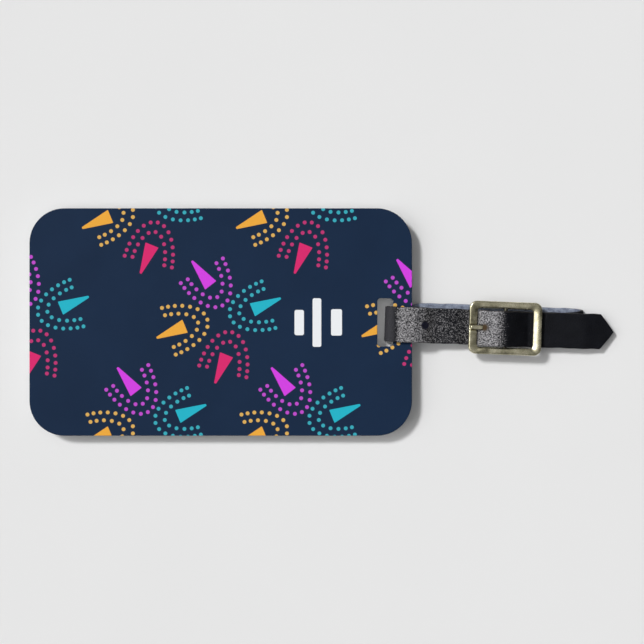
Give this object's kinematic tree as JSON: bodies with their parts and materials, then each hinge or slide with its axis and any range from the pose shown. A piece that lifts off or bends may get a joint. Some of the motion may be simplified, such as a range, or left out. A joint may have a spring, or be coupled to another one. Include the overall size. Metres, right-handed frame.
{
  "type": "luggage tag",
  "caption": "Flat rounded luggage tag with a printed face and a card pocket behind it, on a buckled leather strap through an end slot.",
  "frame": {"origin": "centre of the tag's back face, which lies on the ground plane", "axes": "+X from the tag along the strap, +Z out of the printed face, +Y across the tag"},
  "size_m": [0.1555, 0.0604, 0.0068],
  "materials": {
    "milky_acrylic": "milky white acrylic, edges slightly rounded",
    "printed_film": "satin printed film, navy ground with bright geometric print",
    "spacer": "matt die-cut sheet",
    "clear_cover": "clear polished acrylic",
    "card": "uncoated card",
    "leather": "black pebble-grain leather, grey flesh side and edges",
    "thread": "waxed black thread",
    "buckle_metal": "pale antique brass, worn bright on its edges"
  },
  "bodies": {
    "tag": {"front_plate": "milky_acrylic", "print_film": "printed_film", "card_spacer_frame": "spacer", "back_cover": "clear_cover", "strap_slot_loop": "leather", "strap_flex_top": "leather", "strap_flex_bottom": "leather"},
    "card": {"id_card": "card"},
    "strap": {"strap_handle_loop": "leather", "strap_buckle_fold": "leather", "fold_stitches": "thread", "strap_free_run": "leather"},
    "buckle": {"buckle_frame": "buckle_metal", "buckle_pin": "buckle_metal"},
    "prong": {"buckle_prong": "buckle_metal"}
  },
  "joints": [
    {"name": "card_slide", "type": "slide", "parent": "tag", "child": "card", "axis": [-1, 0, 0], "range_m": [0, 0.085]},
    {"name": "strap_swing", "type": "hinge", "parent": "tag", "child": "strap", "pos_m": [0.0516, -0.00078, 0.00295], "axis": [-0.0366, -0.9993, 0], "range_deg": [-45, 45], "deforming": ["strap_flex_top", "strap_flex_bottom"]},
    {"name": "buckle_tilt", "type": "hinge", "parent": "strap", "child": "buckle", "pos_m": [0.07558, -0.00166, 0.00435], "axis": [-0.0366, -0.9993, 0], "range_deg": [-1.5, 2]},
    {"name": "prong_lift", "type": "hinge", "parent": "buckle", "child": "prong", "pos_m": [0.07558, -0.00166, 0.00435], "axis": [0.0366, 0.9993, 0], "range_deg": [0, 3]}
  ]
}
